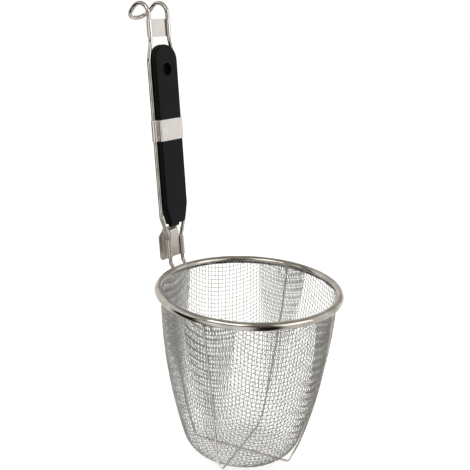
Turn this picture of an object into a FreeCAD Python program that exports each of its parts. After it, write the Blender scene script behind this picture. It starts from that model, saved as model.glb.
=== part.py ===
import FreeCAD, Part
import math
import os
import Sketcher

# Noodle strainer basket, in millimetres. The origin is the centre of the rim, at the
# height of the rolled bead's middle. +Z is up, and the handle stands at +Y.
# The pieces of the handle share a leaning frame: X across, Y away from the basket,
# Z up along the handle, with its origin on the plane of the handle's wire.

DIMENSIONS = {
    # Gaps between pieces that lie on each other, and the sheet that is curled and folded.
    "fit_clearance": 0.05,
    "sheet": 0.6,
    # Rolled rim: a strip bent to a bead round a wire hoop, open where the cloth enters.
    "rim_radius": 67.0,
    "bead_radius": 3.0,
    "strip": 0.5,
    "slot_start": 187.0,
    "slot_end": 243.0,
    "hoop_wire": 2.8,
    # Cloth cup: a bowed wall, a round corner and a flat bottom.
    "cloth": 0.9,
    "cloth_top": 0.2,
    "wall_bow": 410.0,
    "wall_bow_height": 8.6,
    "cup_depth": 132.1,
    "corner_radius": 12.0,
    # Raised lines and openings of the cloth, a coarse form of its weave.
    "relief": 0.3,
    "ridge_width": 0.9,
    "hoop_top": 5.0,
    "hoop_pitch": 23.0,
    "bottom_ring": 9.0,
    "bar_width": 4.5,
    "meridian_angle": 0.9,
    "gap_angle": 14.0,
    # Rib wires outside the cloth.
    "rib_wire": 1.6,
    "rib_turn": 10.4,
    "rib_top": 3.1,
    "rib_corner": 6.0,
    # Handle wire, bent like a hairpin, and its leaning plane.
    "handle_reach": 70.4,
    "handle_lean": 7.0,
    "handle_wire": 3.1,
    "foot_half": 7.2,
    "foot_height": 4.8,
    "foot_turn": 45.0,
    "foot_length": 5.5,
    "foot_bend": 4.0,
    "splay_start": 24.6,
    "splay_end": 42.5,
    "splay_bend": 6.0,
    "grip_wire_half": 13.8,
    "shoulder_start": 160.5,
    "shoulder_end": 175.0,
    "shoulder_bend": 15.0,
    "top_half": 10.2,
    "hook_start": 193.6,
    "hook_radius": 8.5,
    "hook_turn": 131.0,
    "hook_run": 2.5,
    "tip_bend": 9.0,
    # Sheet between the legs under the hook.
    "top_plate_low": 177.4,
    "top_plate_high": 190.2,
    "curl_end": 140.0,
    # Grip moulding.
    "grip_half": 12.0,
    "grip_front": 5.3,
    "grip_back": 1.5,
    "grip_low": 36.2,
    "grip_low_half": 7.8,
    "grip_taper": 50.0,
    "grip_arch": 159.8,
    "grip_round": 0.8,
    "spigot_half": 4.9,
    "spigot_front": 1.5,
    "spigot_low": 33.6,
    "recess_radius": 4.6,
    "recess_height": 153.7,
    "recess_depth": 4.5,
    # Clamp band round grip and wires.
    "band_low": 101.3,
    "band_high": 117.1,
    "band_wrap_start": 1.1,
    # Sheet above the rim with its tongue for a pot's edge.
    "hook_plate_low": 9.8,
    "hook_plate_high": 24.0,
    "neck_half": 4.8,
    "fold_height": 29.5,
    "fold_radius": 3.25,
    "tongue_half": 8.4,
    "tongue_shoulder": 26.5,
    "tongue_low": 6.3,
    "tongue_corner": 3.0,
    "corner_share": 0.3,
}

MERIDIANS = 20
WALL_HOOPS = 6


# Document and sheet

doc = FreeCAD.newDocument("noodle_strainer_basket")
sheet = doc.addObject("Spreadsheet::Sheet", "sizes")
for row, (alias, number) in enumerate(DIMENSIONS.items(), start=1):
    sheet.set(f"A{row}", alias)
    sheet.set(f"B{row}", str(number))
    sheet.setAlias(f"B{row}", alias)
doc.recompute()


def size(alias):
    """Value of one driving dimension."""
    return float(sheet.get(alias))


def cells(text):
    """Expression text with each driving dimension written as a cell of the sheet."""
    words = sorted(DIMENSIONS, key=len, reverse=True)
    for place, word in enumerate(words):
        text = text.replace(word, f"<{place}>")
    for place, word in enumerate(words):
        text = text.replace(f"<{place}>", f"sizes.{word}")
    return text


def value(text):
    """Number that an expression of the driving dimensions comes to."""
    result = sheet.evalExpression(cells(text))
    return float(getattr(result, "Value", result))


class Drawing:
    """Sketch on an origin plane of a body, whose places are bound to the sheet."""

    def __init__(self, body, name, role, lift="0", turn="0"):
        self.sketch = body.newObject("Sketcher::SketchObject", name)
        plane = [item for item in body.Origin.OriginFeatures if item.Role == role][0]
        self.sketch.AttachmentSupport = [(plane, "")]
        self.sketch.MapMode = "FlatFace"
        self.sketch.AttachmentOffset = FreeCAD.Placement(
            FreeCAD.Vector(), FreeCAD.Rotation(FreeCAD.Vector(0, 1, 0), value(turn)))
        if lift != "0":
            self.sketch.setExpression("AttachmentOffset.Base.z", cells(lift))

    def bind(self, kind, *places, to):
        """Add one dimension and bind it to an expression."""
        index = self.sketch.addConstraint(Sketcher.Constraint(kind, *places, value(to)))
        name = f"{kind}_{index}"
        self.sketch.renameConstraint(index, name)
        self.sketch.setExpression(f"Constraints.{name}", cells(to))

    def tie(self, kind, *places):
        """Add one constraint that has no number."""
        self.sketch.addConstraint(Sketcher.Constraint(kind, *places))

    def place(self, geometry, end, across, up):
        """Bind both coordinates of a point."""
        self.bind("DistanceX", geometry, end, to=across)
        self.bind("DistanceY", geometry, end, to=up)

    def line(self, start, end):
        """Straight line between two points given as numbers."""
        return self.sketch.addGeometry(
            Part.LineSegment(FreeCAD.Vector(*start, 0), FreeCAD.Vector(*end, 0)))

    def arc(self, centre, radius, first, last):
        """Arc from the first angle counter-clockwise to the last, in degrees."""
        circle = Part.Circle(FreeCAD.Vector(*centre, 0), FreeCAD.Vector(0, 0, 1), radius)
        return self.sketch.addGeometry(
            Part.ArcOfCircle(circle, math.radians(first), math.radians(last)))

    def circle(self, across, up, radius):
        """Full circle with its centre and radius bound."""
        centre = FreeCAD.Vector(value(across), value(up), 0)
        disc = self.sketch.addGeometry(
            Part.Circle(centre, FreeCAD.Vector(0, 0, 1), value(radius)))
        self.place(disc, 3, across, up)
        self.bind("Radius", disc, to=radius)

    def polygon(self, points):
        """Closed outline of straight lines through bound points."""
        corners = [(value(across), value(up)) for across, up in points]
        count = len(corners)
        lines = [self.line(corners[i], corners[(i + 1) % count]) for i in range(count)]
        for index, (across, up) in enumerate(points):
            self.tie("Coincident", lines[index - 1], 2, lines[index], 1)
            self.place(lines[index], 1, across, up)

    def rectangle(self, left, right, low, high):
        """Upright rectangle between bound sides."""
        self.polygon([(left, low), (right, low), (right, high), (left, high)])


def new_body(name):
    """Empty body whose label names its file."""
    body = doc.addObject("PartDesign::Body", name)
    body.Label = name
    return body


def lean_with_handle(piece):
    """Put a piece in the leaning frame of the handle."""
    piece.Placement = FreeCAD.Placement(
        FreeCAD.Vector(0, size("handle_reach"), 0),
        FreeCAD.Rotation(FreeCAD.Vector(-1, 0, 0), size("handle_lean")))
    piece.setExpression("Placement.Base.y", cells("handle_reach"))
    piece.setExpression("Placement.Rotation.Angle", cells("handle_lean * 1 deg"))


def pad(body, name, drawing, length, midplane=False, reverse=False):
    """Straight extrusion of a drawing."""
    feature = body.newObject("PartDesign::Pad", name)
    feature.Profile = drawing.sketch
    feature.setExpression("Length", cells(length))
    feature.Midplane = midplane
    feature.Reversed = reverse
    doc.recompute()
    return feature


def revolve(body, kind, name, drawing, angle="360"):
    """Revolution or groove of a drawing about the upright axis."""
    feature = body.newObject(f"PartDesign::{kind}", name)
    feature.Profile = drawing.sketch
    feature.ReferenceAxis = (drawing.sketch, ["V_Axis"])
    feature.Midplane = True
    feature.setExpression("Angle", cells(angle))
    doc.recompute()
    return feature


def repeat_round(body, feature):
    """Repeat a feature once for each meridian of the cloth."""
    pattern = body.newObject("PartDesign::PolarPattern", f"{feature.Name}_pattern")
    pattern.Originals = [feature]
    axis = [item for item in body.Origin.OriginFeatures if item.Role == "Z_Axis"][0]
    pattern.Axis = (axis, [""])
    pattern.Angle = 360
    pattern.Occurrences = MERIDIANS
    body.Tip = pattern
    doc.recompute()


# Cup outline, shared by the cloth and the ribs

CUP_MOUTH = "(rim_radius - hoop_wire / 2 - fit_clearance)"
BOW_CENTRE = f"({CUP_MOUTH} - sqrt(wall_bow ^ 2 - wall_bow_height ^ 2))"
CLOTH_MIDDLE = "(wall_bow - cloth / 2)"
CORNER_HEIGHT = "(-1 * cup_depth + corner_radius)"
CORNER_CENTRE = (f"({BOW_CENTRE} + sqrt((wall_bow - corner_radius) ^ 2"
                 f" - ({CORNER_HEIGHT} - wall_bow_height) ^ 2))")


def wall_radius(up, radius="wall_bow"):
    """Radius of the bowed wall at a height."""
    return f"({BOW_CENTRE} + sqrt({radius} ^ 2 - ({up} - wall_bow_height) ^ 2))"


def hoop_height(index):
    """Height of one raised hoop of the wall, from the top."""
    return f"(-1 * hoop_top - hoop_pitch * {index})"


def rib_curve(drawing, offset, top, drop, side):
    """Half outline of a rib at an offset outside the cloth, from its top to its middle."""
    mirror = "" if side == 1 else "-1 * "
    radius = f"(wall_bow + {offset})"
    bottom = f"(-1 * cup_depth - {offset} - {drop})"
    bow_x = value(BOW_CENTRE)
    bow_z = size("wall_bow_height")
    corner = size("rib_corner")
    corner_z = value(bottom) + corner
    reach = value(radius) - corner
    corner_x = bow_x + math.sqrt(reach ** 2 - (corner_z - bow_z) ** 2)
    low_angle = math.degrees(math.atan2(corner_z - bow_z, corner_x - bow_x))
    top_angle = math.degrees(math.asin((value(top) - bow_z) / value(radius)))
    if side == 1:
        wall = drawing.arc((bow_x, bow_z), value(radius), low_angle, top_angle)
        turn = drawing.arc((corner_x, corner_z), corner, -90, low_angle)
        wall_low, wall_top, turn_high, turn_low = 1, 2, 2, 1
    else:
        wall = drawing.arc((-bow_x, bow_z), value(radius), 180 - top_angle, 180 - low_angle)
        turn = drawing.arc((-corner_x, corner_z), corner, 180 - low_angle, 270)
        wall_low, wall_top, turn_high, turn_low = 2, 1, 1, 2
    floor = drawing.line((side * corner_x, value(bottom)), (0, value(bottom)))
    drawing.place(wall, 3, f"{mirror}{BOW_CENTRE}", "wall_bow_height")
    drawing.bind("Radius", wall, to=radius)
    drawing.bind("DistanceY", wall, wall_top, to=top)
    drawing.tie("Tangent", wall, wall_low, turn, turn_high)
    drawing.bind("Radius", turn, to="rib_corner")
    drawing.tie("Tangent", turn, turn_low, floor, 1)
    drawing.place(floor, 2, "0", bottom)


def cup_side(drawing, offset, top, end):
    """Half outline of the cloth at an offset: straight between hoops, round at the corner.

    Returns the first and the last line of the outline.
    """
    radius = f"(wall_bow + {offset})"
    corner = f"(corner_radius + {offset})"
    heights = [top] + [hoop_height(index) for index in range(1, WALL_HOOPS)]
    share = f"({radius} / (wall_bow - corner_radius))"
    meet_y = f"(wall_bow_height + ({CORNER_HEIGHT} - wall_bow_height) * {share})"
    meet_x = f"({BOW_CENTRE} + ({CORNER_CENTRE} - {BOW_CENTRE}) * {share})"
    points = [(wall_radius(height, radius), height) for height in heights]
    places = [(value(across), value(up)) for across, up in points + [(meet_x, meet_y)]]
    lines = [drawing.line(places[i], places[i + 1]) for i in range(len(points))]
    for index, (across, up) in enumerate(points):
        if index:
            drawing.tie("Coincident", lines[index - 1], 2, lines[index], 1)
        drawing.place(lines[index], 1, across, up)
    centre = (value(CORNER_CENTRE), value(CORNER_HEIGHT))
    meet = math.degrees(math.atan2(places[-1][1] - centre[1], places[-1][0] - centre[0]))
    arc = drawing.arc(centre, value(corner), -90, meet)
    drawing.place(arc, 3, CORNER_CENTRE, CORNER_HEIGHT)
    drawing.bind("Radius", arc, to=corner)
    drawing.bind("DistanceY", arc, 2, to=meet_y)
    drawing.bind("DistanceX", arc, 1, to=CORNER_CENTRE)
    drawing.tie("Coincident", lines[-1], 2, arc, 2)
    level = centre[1] - value(corner)
    floor = drawing.line((centre[0], level), (value(end), level))
    drawing.tie("Coincident", floor, 1, arc, 1)
    drawing.place(floor, 2, end, f"{CORNER_HEIGHT} - {corner}")
    return lines[0], floor


def cup_section(body, name, outside, inside, top, end):
    """Closed section between two offsets of the cup outline."""
    drawing = Drawing(body, name, "XZ_Plane")
    sides = [cup_side(drawing, offset, top, end) for offset in (outside, inside)]
    for place, point in ((0, 1), (1, 2)):
        outer, inner = sides[0][place], sides[1][place]
        ends = [drawing.sketch.Geometry[line] for line in (outer, inner)]
        spots = [line.StartPoint if point == 1 else line.EndPoint for line in ends]
        edge = drawing.line(*[(spot.x, spot.y) for spot in spots])
        drawing.tie("Coincident", edge, 1, outer, point)
        drawing.tie("Coincident", edge, 2, inner, point)
    doc.recompute()
    return drawing


# Cloth of the basket

def make_mesh_basket():
    """Thin cup of cloth with raised lines both ways and a grid of openings between them."""
    body = new_body("mesh_basket")
    wall = cup_section(body, "wall_section", "0", "(-1 * cloth)", "cloth_top", "0")
    revolve(body, "Revolution", "wall", wall)

    hoops = Drawing(body, "hoop_section", "XZ_Plane")
    for index in range(WALL_HOOPS):
        middle = hoop_height(index)
        low = f"({middle} - ridge_width / 2)"
        hoops.rectangle(wall_radius(middle, CLOTH_MIDDLE), f"{wall_radius(low)} + relief",
                        low, f"{middle} + ridge_width / 2")
    hoops.rectangle("bottom_ring - ridge_width / 2", "bottom_ring + ridge_width / 2",
                    "-1 * cup_depth - relief", "-1 * cup_depth + cloth / 2")
    revolve(body, "Revolution", "hoops", hoops)

    meridian = cup_section(body, "meridian_section", "relief", "(-1 * cloth / 2)",
                           hoop_height(0), "bottom_ring")
    repeat_round(body, revolve(body, "Revolution", "meridian", meridian, "meridian_angle * 1 deg"))

    gaps = Drawing(body, "gap_section", "XZ_Plane", turn=f"180 / {MERIDIANS}")
    for index in range(WALL_HOOPS - 1):
        high, low = hoop_height(index), hoop_height(index + 1)
        gaps.rectangle(f"{wall_radius(low)} - 3 * cloth", f"{wall_radius(high)} + 3 * cloth",
                       f"{low} + bar_width / 2", f"{high} - bar_width / 2")
    gaps.rectangle("bottom_ring + bar_width / 2", f"{CORNER_CENTRE} - bar_width / 2",
                   "-1 * cup_depth - 2 * cloth", "-1 * cup_depth + 2 * cloth")
    repeat_round(body, revolve(body, "Groove", "gap", gaps, "gap_angle * 1 deg"))
    body.setExpression("Placement.Rotation.Angle", cells("rib_turn * 1 deg"))
    return body


# Rim

def make_rim_channel():
    """Strip rolled to a bead, with the slot that the cloth enters by."""
    body = new_body("rim_channel")
    section = Drawing(body, "bead_section", "XZ_Plane")
    first = size("slot_end") - 360
    last = size("slot_start")
    centre = (size("rim_radius"), 0)
    outer = section.arc(centre, size("bead_radius"), first, last)
    inner = section.arc(centre, size("bead_radius") - size("strip"), first, last)
    for arc, radius in ((outer, "bead_radius"), (inner, "(bead_radius - strip)")):
        section.place(arc, 3, "rim_radius", "0")
        section.bind("Radius", arc, to=radius)
    for end, angle in ((1, "slot_end"), (2, "slot_start")):
        section.bind("DistanceY", outer, end, to=f"bead_radius * sin({angle} * 1 deg)")
        section.bind("DistanceY", inner, end, to=f"(bead_radius - strip) * sin({angle} * 1 deg)")
        turn = math.radians(size("slot_end" if end == 1 else "slot_start"))
        inside = size("bead_radius") - size("strip")
        lip = section.line(
            (centre[0] + size("bead_radius") * math.cos(turn), size("bead_radius") * math.sin(turn)),
            (centre[0] + inside * math.cos(turn), inside * math.sin(turn)))
        section.tie("Coincident", lip, 1, outer, end)
        section.tie("Coincident", lip, 2, inner, end)
    revolve(body, "Revolution", "bead", section)
    return body


def make_rim_hoop_wire():
    """Round hoop on which the strip is closed."""
    hoop = doc.addObject("Part::Torus", "rim_hoop_wire")
    hoop.Label = "rim_hoop_wire"
    hoop.setExpression("Radius1", cells("rim_radius"))
    hoop.setExpression("Radius2", cells("hoop_wire / 2"))
    return hoop


# Ribs

def make_rib(name, turn, drop):
    """U-shaped wire outside the cloth, from under the bead to the other side."""
    body = new_body(name)
    offset = "(rib_wire / 2 + relief + fit_clearance)"
    top = "(-1 * rib_top)"
    path = Drawing(body, f"{name}_path", "XZ_Plane")
    for side in (1, -1):
        rib_curve(path, offset, top, drop, side)
    section = Drawing(body, f"{name}_section", "XY_Plane", lift=top)
    section.circle(wall_radius(top, f"(wall_bow + {offset})"), "0", "rib_wire / 2")
    doc.recompute()
    pipe = body.newObject("PartDesign::AdditivePipe", f"{name}_pipe")
    pipe.Profile = section.sketch
    pipe.Spine = (path.sketch, [f"Edge{i + 1}" for i in range(len(path.sketch.Shape.Edges))])
    body.setExpression("Placement.Rotation.Angle", cells(f"{turn} * 1 deg"))
    doc.recompute()
    return body


# Handle wire

def rounded_path(points, radii):
    """Straight runs joined by tangent arcs, one radius for each inner point."""
    edges = []
    start = points[0]
    for index, radius in enumerate(radii, start=1):
        corner = points[index]
        back = (points[index - 1] - corner).normalize()
        ahead = (points[index + 1] - corner).normalize()
        half_turn = (math.pi - back.getAngle(ahead)) / 2
        tangent = radius * math.tan(half_turn)
        enter = corner + back * tangent
        leave = corner + ahead * tangent
        inward = (back + ahead).normalize()
        middle = corner + inward * radius * (1 / math.cos(half_turn) - 1)
        if (enter - start).Length > 1e-6:
            edges.append(Part.LineSegment(start, enter).toShape())
        edges.append(Part.Arc(enter, middle, leave).toShape())
        start = leave
    edges.append(Part.LineSegment(start, points[-1]).toShape())
    return Part.Wire(edges)


def make_handle_wire():
    """One wire: feet on the rim, legs beside the grip, and the hook curled away."""
    foot = math.radians(size("foot_turn"))
    hook = math.radians(size("hook_turn"))
    reach = size("hook_radius") * math.tan(hook / 2)
    fall = reach + size("hook_run") + size("tip_bend")
    corner_height = size("hook_start") + reach
    side = [
        (size("foot_half"), -size("foot_length") * math.sin(foot),
         size("foot_height") - size("foot_length") * math.cos(foot)),
        (size("foot_half"), 0, size("foot_height")),
        (size("foot_half"), 0, size("splay_start")),
        (size("grip_wire_half"), 0, size("splay_end")),
        (size("grip_wire_half"), 0, size("shoulder_start")),
        (size("top_half"), 0, size("shoulder_end")),
        (size("top_half"), 0, corner_height),
        (size("top_half"), fall * math.sin(hook), corner_height + fall * math.cos(hook)),
    ]
    bends = ["foot_bend", "splay_bend", "splay_bend", "shoulder_bend", "shoulder_bend",
             "hook_radius", "tip_bend"]
    points = [FreeCAD.Vector(*point) for point in side]
    points += [FreeCAD.Vector(-x, y, z) for x, y, z in reversed(side)]
    radii = [size(bend) for bend in bends]
    path = rounded_path(points, radii + radii[::-1])
    along = (points[1] - points[0]).normalize()
    section = Part.Wire(Part.Circle(points[0], along, size("handle_wire") / 2).toShape())
    swept = path.makePipeShell([section], True, False)

    piece = doc.addObject("Part::Feature", "handle_wire_swept")
    piece.Shape = swept
    lean_with_handle(piece)
    bead = doc.addObject("Part::Torus", "bead_clearance")
    bead.setExpression("Radius1", cells("rim_radius"))
    bead.setExpression("Radius2", cells("bead_radius + fit_clearance"))
    cut = doc.addObject("Part::Cut", "handle_wire")
    cut.Base = piece
    cut.Tool = bead
    cut.Label = "handle_wire"
    doc.recompute()
    return cut


# Sheets curled round the wires

def curled_sheet(body, name, half, low, high):
    """Flat sheet behind two straight legs, its edges curled forward round them."""
    section = Drawing(body, f"{name}_section", "XY_Plane", lift=low)
    inside = "(handle_wire / 2 + fit_clearance)"
    outside = f"({inside} + sheet)"
    end = size("curl_end")
    backs = []
    for side in (1, -1):
        centre = (side * size(half), 0)
        first, last = (end - 360, 90) if side == 1 else (90, 540 - end)
        arcs = [section.arc(centre, value(radius), first, last) for radius in (outside, inside)]
        flat_end, curl_end = (2, 1) if side == 1 else (1, 2)
        for arc, radius in zip(arcs, (outside, inside)):
            section.place(arc, 3, f"{side} * {half}", "0")
            section.bind("Radius", arc, to=radius)
            section.bind("DistanceX", arc, flat_end, to=f"{side} * {half}")
            section.bind("DistanceY", arc, curl_end, to=f"{radius} * sin(curl_end * 1 deg)")
        turn = math.radians(end)
        tip = section.line(*[(side * (size(half) + value(radius) * math.cos(turn)),
                              value(radius) * math.sin(turn)) for radius in (outside, inside)])
        section.tie("Coincident", tip, 1, arcs[0], curl_end)
        section.tie("Coincident", tip, 2, arcs[1], curl_end)
        backs.append((arcs, flat_end))
    for layer, radius in enumerate((outside, inside)):
        flat = section.line((size(half), value(radius)), (-size(half), value(radius)))
        section.tie("Coincident", flat, 1, backs[0][0][layer], backs[0][1])
        section.tie("Coincident", flat, 2, backs[1][0][layer], backs[1][1])
    return pad(body, name, section, f"{high} - {low}")


SHEET_FRONT = "(handle_wire / 2 + fit_clearance)"


def make_top_plate():
    """Small sheet between the legs, under the hook."""
    body = new_body("top_plate")
    curled_sheet(body, "top_sheet", "top_half", "top_plate_low", "top_plate_high")
    lean_with_handle(body)
    return body


def make_pot_hook_plate():
    """Sheet above the rim whose neck folds over into the tongue behind it."""
    body = new_body("pot_hook_plate")
    curled_sheet(body, "lower_sheet", "foot_half", "hook_plate_low", "hook_plate_high")

    fold = Drawing(body, "fold_section", "YZ_Plane")
    centre = f"({SHEET_FRONT} + sheet + fold_radius)"
    middle = (value(centre), size("fold_height"))
    layers = []
    for radius in ("(fold_radius + sheet)", "fold_radius"):
        arc = fold.arc(middle, value(radius), 0, 180)
        fold.place(arc, 3, centre, "fold_height")
        fold.bind("Radius", arc, to=radius)
        reach = value(radius)
        front = fold.line((middle[0] - reach, middle[1]),
                          (middle[0] - reach, value("hook_plate_high - neck_half")))
        back = fold.line((middle[0] + reach, middle[1]),
                         (middle[0] + reach, size("tongue_shoulder")))
        fold.tie("Tangent", arc, 2, front, 1)
        fold.tie("Tangent", arc, 1, back, 1)
        fold.place(front, 2, f"{centre} - {radius}", "hook_plate_high - neck_half")
        fold.place(back, 2, f"{centre} + {radius}", "tongue_shoulder")
        layers.append((front, back))
    for outer, inner, low in ((layers[0][0], layers[1][0], "hook_plate_high - neck_half"),
                              (layers[0][1], layers[1][1], "tongue_shoulder")):
        ends = [fold.sketch.Geometry[line].EndPoint for line in (outer, inner)]
        edge = fold.line(*[(point.x, value(low)) for point in ends])
        fold.tie("Coincident", edge, 1, outer, 2)
        fold.tie("Coincident", edge, 2, inner, 2)
    pad(body, "fold", fold, "2 * neck_half", midplane=True)

    tongue = Drawing(body, "tongue_outline", "XZ_Plane", lift=f"-1 * ({centre} + fold_radius)")
    low = "tongue_low"
    tongue.polygon([
        ("tongue_half", "tongue_shoulder"),
        ("neck_half", "fold_height"),
        ("-1 * neck_half", "fold_height"),
        ("-1 * tongue_half", "tongue_shoulder"),
        ("-1 * tongue_half", f"{low} + tongue_corner"),
        ("-1 * tongue_half + tongue_corner * corner_share", f"{low} + tongue_corner * corner_share"),
        ("-1 * tongue_half + tongue_corner", low),
        ("tongue_half - tongue_corner", low),
        ("tongue_half - tongue_corner * corner_share", f"{low} + tongue_corner * corner_share"),
        ("tongue_half", f"{low} + tongue_corner"),
    ])
    pad(body, "tongue", tongue, "sheet", reverse=True)
    lean_with_handle(body)
    return body


# Grip

def make_grip():
    """Moulded grip in front of the wires, round at the top, tapered at the bottom."""
    body = new_body("grip")
    outline = Drawing(body, "grip_outline", "XZ_Plane", lift="grip_front")
    half = size("grip_half")
    arch = outline.arc((0, size("grip_arch")), half, 0, 180)
    outline.place(arch, 3, "0", "grip_arch")
    outline.bind("Radius", arch, to="grip_half")
    corners = [("-1 * grip_half", "grip_arch"), ("-1 * grip_half", "grip_taper"),
               ("-1 * grip_low_half", "grip_low"), ("grip_low_half", "grip_low"),
               ("grip_half", "grip_taper"), ("grip_half", "grip_arch")]
    places = [(value(across), value(up)) for across, up in corners]
    lines = [outline.line(places[i], places[i + 1]) for i in range(len(places) - 1)]
    outline.tie("Coincident", arch, 2, lines[0], 1)
    outline.tie("Coincident", arch, 1, lines[-1], 2)
    outline.bind("DistanceY", lines[0], 1, to="grip_arch")
    outline.bind("DistanceY", lines[-1], 2, to="grip_arch")
    for index in range(1, len(lines)):
        outline.tie("Coincident", lines[index - 1], 2, lines[index], 1)
        outline.place(lines[index], 1, *corners[index])
    block = pad(body, "grip_block", outline, "grip_front + grip_back", reverse=True)

    front = -size("grip_front")
    edges = [f"Edge{number}" for number, edge in enumerate(block.Shape.Edges, start=1)
             if all(abs(vertex.Point.y - front) < 1e-6 for vertex in edge.Vertexes)]
    rounding = body.newObject("PartDesign::Fillet", "grip_rounding")
    rounding.Base = (block, edges)
    rounding.setExpression("Radius", cells("grip_round"))
    doc.recompute()

    spigot = Drawing(body, "spigot_outline", "XZ_Plane", lift="spigot_front")
    spigot.rectangle("-1 * spigot_half", "spigot_half", "spigot_low", "grip_low + grip_round")
    pad(body, "spigot", spigot, "spigot_front + grip_back", reverse=True)

    recess = Drawing(body, "recess_outline", "XZ_Plane", lift="grip_front")
    recess.circle("0", "recess_height", "recess_radius")
    full_volume = body.Shape.Volume
    pocket = body.newObject("PartDesign::Pocket", "recess")
    pocket.Profile = recess.sketch
    pocket.setExpression("Length", cells("recess_depth"))
    doc.recompute()
    if body.Shape.Volume > full_volume - 1:
        raise RuntimeError("the recess cuts nothing")
    lean_with_handle(body)
    return body


# Clamp band

def make_clamp_band():
    """Closed strip over the grip's front, round both wires and across the back."""
    body = new_body("clamp_band")
    section = Drawing(body, "band_section", "XY_Plane", lift="band_low")
    wire_gap = "(handle_wire / 2 + fit_clearance)"
    side_gap = "(grip_half + fit_clearance)"
    front_gap = "(grip_front + fit_clearance)"
    layers = (
        (f"({wire_gap} + sheet)", f"({side_gap} + sheet)", f"-1 * ({front_gap} + sheet)", None),
        (wire_gap, side_gap, f"-1 * {front_gap}", "-1 * band_wrap_start"),
    )
    for radius, side_x, front_y, ledge in layers:
        wrap_x = f"(grip_wire_half - {side_x})"
        meet_y = ledge or f"-1 * sqrt({radius} ^ 2 - {wrap_x} ^ 2)"
        meet_x = side_x
        if ledge:
            meet_x = f"(grip_wire_half - sqrt({radius} ^ 2 - band_wrap_start ^ 2))"
        chain = []
        for side in (-1, 1):
            centre = side * size("grip_wire_half")
            angle = math.degrees(math.atan2(value(meet_y), value(meet_x) - size("grip_wire_half")))
            first, last = (angle, 90) if side == 1 else (90, 180 - angle)
            arc = section.arc((centre, 0), value(radius), first, last)
            back_end, meet_end = (2, 1) if side == 1 else (1, 2)
            section.place(arc, 3, f"{side} * grip_wire_half", "0")
            section.bind("Radius", arc, to=radius)
            section.bind("DistanceX", arc, back_end, to=f"{side} * grip_wire_half")
            section.bind("DistanceY", arc, meet_end, to=meet_y)
            corners = [(f"{side} * {side_x}", front_y), (f"{side} * {side_x}", meet_y)]
            if ledge:
                corners.append((f"{side} * {meet_x}", meet_y))
            places = [(value(across), value(up)) for across, up in corners]
            lines = [section.line(places[i], places[i + 1]) for i in range(len(places) - 1)]
            section.place(lines[0], 1, *corners[0])
            if ledge:
                section.tie("Coincident", lines[0], 2, lines[1], 1)
                section.place(lines[1], 1, *corners[1])
            section.tie("Coincident", lines[-1], 2, arc, meet_end)
            chain.append((arc, back_end, lines[0]))
        back = section.line((-size("grip_wire_half"), value(radius)),
                            (size("grip_wire_half"), value(radius)))
        front = section.line((-value(side_x), value(front_y)), (value(side_x), value(front_y)))
        for end, (arc, back_end, first_line) in enumerate(chain, start=1):
            section.tie("Coincident", back, end, arc, back_end)
            section.tie("Coincident", front, end, first_line, 1)
    pad(body, "band", section, "band_high - band_low")
    lean_with_handle(body)
    return body


pieces = [
    make_mesh_basket(),
    make_rim_channel(),
    make_rim_hoop_wire(),
    make_rib("rib_wire_a", "rib_turn", "0"),
    make_rib("rib_wire_b", "(rib_turn + 90)", "(rib_wire + fit_clearance)"),
    make_handle_wire(),
    make_top_plate(),
    make_grip(),
    make_clamp_band(),
    make_pot_hook_plate(),
]
doc.recompute()

for item in doc.Objects:
    if "Invalid" in item.State or "Error" in item.State:
        raise RuntimeError(f"{item.Name} did not rebuild: {item.State}")
for piece in pieces:
    if piece.Shape.isNull() or not piece.Shape.isValid():
        raise RuntimeError(f"{piece.Label} has no sound shape")

os.makedirs("parts", exist_ok=True)
for piece in pieces:
    piece.Shape.exportStep(f"parts/{piece.Label}.step")
    box = piece.Shape.BoundBox
    print(f"{piece.Label}: {len(piece.Shape.Solids)} solid, {piece.Shape.Volume:.1f} mm3, "
          f"x {box.XMin:.2f} {box.XMax:.2f}, y {box.YMin:.2f} {box.YMax:.2f}, "
          f"z {box.ZMin:.2f} {box.ZMax:.2f}")
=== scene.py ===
"""Noodle strainer basket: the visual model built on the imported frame.

The frame's origin is the centre of the rim at the height of the rolled bead's middle,
+Z is up and the handle stands at +Y. Sizes are in millimetres, turned to metres by MM.
"""

import logging
import math
from dataclasses import dataclass, field
from enum import Enum

import bpy
import numpy as np
from bpy.types import Material, Node, NodeSocket, NodeTree, Object
from mathutils import Matrix, Vector

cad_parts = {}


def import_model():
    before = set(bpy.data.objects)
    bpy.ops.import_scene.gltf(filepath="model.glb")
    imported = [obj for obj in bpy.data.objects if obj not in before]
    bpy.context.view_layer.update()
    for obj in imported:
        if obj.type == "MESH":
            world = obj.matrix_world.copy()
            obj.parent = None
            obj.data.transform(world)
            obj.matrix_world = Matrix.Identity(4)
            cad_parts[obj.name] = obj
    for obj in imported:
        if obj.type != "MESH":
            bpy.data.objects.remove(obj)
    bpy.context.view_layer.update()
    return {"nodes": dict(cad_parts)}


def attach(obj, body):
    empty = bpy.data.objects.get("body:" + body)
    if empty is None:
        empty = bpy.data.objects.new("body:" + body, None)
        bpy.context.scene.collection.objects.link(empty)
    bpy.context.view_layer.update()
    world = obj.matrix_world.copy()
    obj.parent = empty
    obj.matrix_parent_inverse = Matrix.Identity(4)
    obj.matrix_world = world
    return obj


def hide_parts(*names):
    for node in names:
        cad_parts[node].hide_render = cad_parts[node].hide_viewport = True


MM = 0.001
DOME = 0.2  # height of a wire's end cap, as a share of its radius
RUN_STEP = 6.0  # longest sample on a straight run, in millimetres
LOG = logging.getLogger("strainer")


class WireFamily(Enum):
    """The two families of wires in the cloth."""

    WARP = 1
    WEFT = -1


class Brushing(Enum):
    """Way the brushing lines of a sheet run."""

    ACROSS = "across"
    ALONG = "along"


# Small shared tools

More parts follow.
